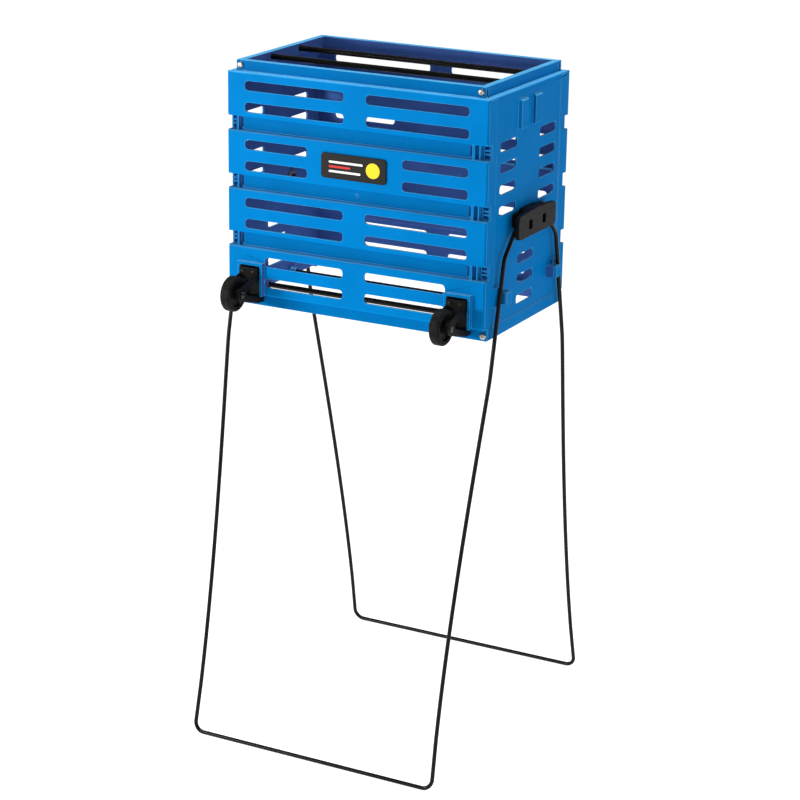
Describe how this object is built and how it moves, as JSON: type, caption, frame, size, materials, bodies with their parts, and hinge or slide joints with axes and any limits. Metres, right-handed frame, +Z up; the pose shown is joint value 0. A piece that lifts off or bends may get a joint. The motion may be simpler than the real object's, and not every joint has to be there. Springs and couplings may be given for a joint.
{
  "type": "tennis ball hopper",
  "caption": "Slatted plastic ball basket with wheels and rolling rods, standing on fold-over wire frames that serve as legs when down and as carrying handles when up.",
  "frame": {"origin": "on the ground, midway between the feet and midway along the basket's length", "axes": "+Z up, X along the basket's length and the hinge axes, -Y towards the face that carries the wheels"},
  "size_m": [0.3888, 0.4388, 0.866],
  "materials": {
    "blue_plastic": "satin moulded",
    "black_plastic": "satin moulded",
    "black_wire": "satin coated",
    "wheel_rubber": "matt",
    "zinc_steel": "bright zinc plate"
  },
  "bodies": {
    "basket": {"front_wall": "blue_plastic", "back_wall": "blue_plastic", "left_end_wall": "blue_plastic", "right_end_wall": "blue_plastic", "left_pivot_housing": "black_plastic", "right_pivot_housing": "black_plastic", "left_wheel_bracket": "black_plastic", "right_wheel_bracket": "black_plastic", "left_axle": "zinc_steel", "right_axle": "zinc_steel", "left_axle_cap": "zinc_steel", "right_axle_cap": "zinc_steel", "front_left_top_screw": "zinc_steel", "front_left_bottom_screw": "zinc_steel", "front_right_top_screw": "zinc_steel", "front_right_bottom_screw": "zinc_steel", "back_left_top_screw": "zinc_steel", "back_left_bottom_screw": "zinc_steel", "back_right_top_screw": "zinc_steel", "back_right_bottom_screw": "zinc_steel", "left_housing_front_screw": "zinc_steel", "left_housing_back_screw": "zinc_steel", "right_housing_front_screw": "zinc_steel", "right_housing_back_screw": "zinc_steel", "left_bracket_left_screw": "zinc_steel", "left_bracket_right_screw": "zinc_steel", "right_bracket_left_screw": "zinc_steel", "right_bracket_right_screw": "zinc_steel"},
    "front_frame": {"front_wire_frame": "black_wire", "front_frame_left_retainer": "zinc_steel", "front_frame_right_retainer": "zinc_steel"},
    "back_frame": {"back_wire_frame": "black_wire", "back_frame_left_retainer": "zinc_steel", "back_frame_right_retainer": "zinc_steel"},
    "wheel_left": {"left_wheel": "wheel_rubber"},
    "wheel_right": {"right_wheel": "wheel_rubber"},
    "rod_top_front": {"top_front_rod": "black_wire"},
    "rod_bottom_front": {"bottom_front_rod": "black_wire"},
    "rod_top_back": {"top_back_rod": "black_wire"},
    "rod_bottom_back": {"bottom_back_rod": "black_wire"}
  },
  "joints": [
    {"name": "front_frame_fold", "type": "hinge", "parent": "basket", "child": "front_frame", "pos_m": [0, -0.036, 0.692], "axis": [-1, 0, 0], "range_deg": [0, 167.9]},
    {"name": "back_frame_fold", "type": "hinge", "parent": "basket", "child": "back_frame", "pos_m": [0, 0.036, 0.692], "axis": [1, 0, 0], "range_deg": [0, 167.9]},
    {"name": "left_wheel_spin", "type": "hinge", "parent": "basket", "child": "wheel_left", "pos_m": [-0.1455, -0.1592, 0.5826], "axis": [1, 0, 0], "continuous": true},
    {"name": "right_wheel_spin", "type": "hinge", "parent": "basket", "child": "wheel_right", "pos_m": [0.1455, -0.1592, 0.5826], "axis": [1, 0, 0], "continuous": true},
    {"name": "top_front_rod_roll", "type": "hinge", "parent": "basket", "child": "rod_top_front", "pos_m": [0, -0.035, 0.8596], "axis": [1, 0, 0], "continuous": true},
    {"name": "bottom_front_rod_roll", "type": "hinge", "parent": "basket", "child": "rod_bottom_front", "pos_m": [0, -0.0358, 0.5622], "axis": [1, 0, 0], "continuous": true},
    {"name": "top_back_rod_roll", "type": "hinge", "parent": "basket", "child": "rod_top_back", "pos_m": [0, 0.035, 0.8596], "axis": [1, 0, 0], "continuous": true},
    {"name": "bottom_back_rod_roll", "type": "hinge", "parent": "basket", "child": "rod_bottom_back", "pos_m": [0, 0.0358, 0.5622], "axis": [1, 0, 0], "continuous": true}
  ]
}
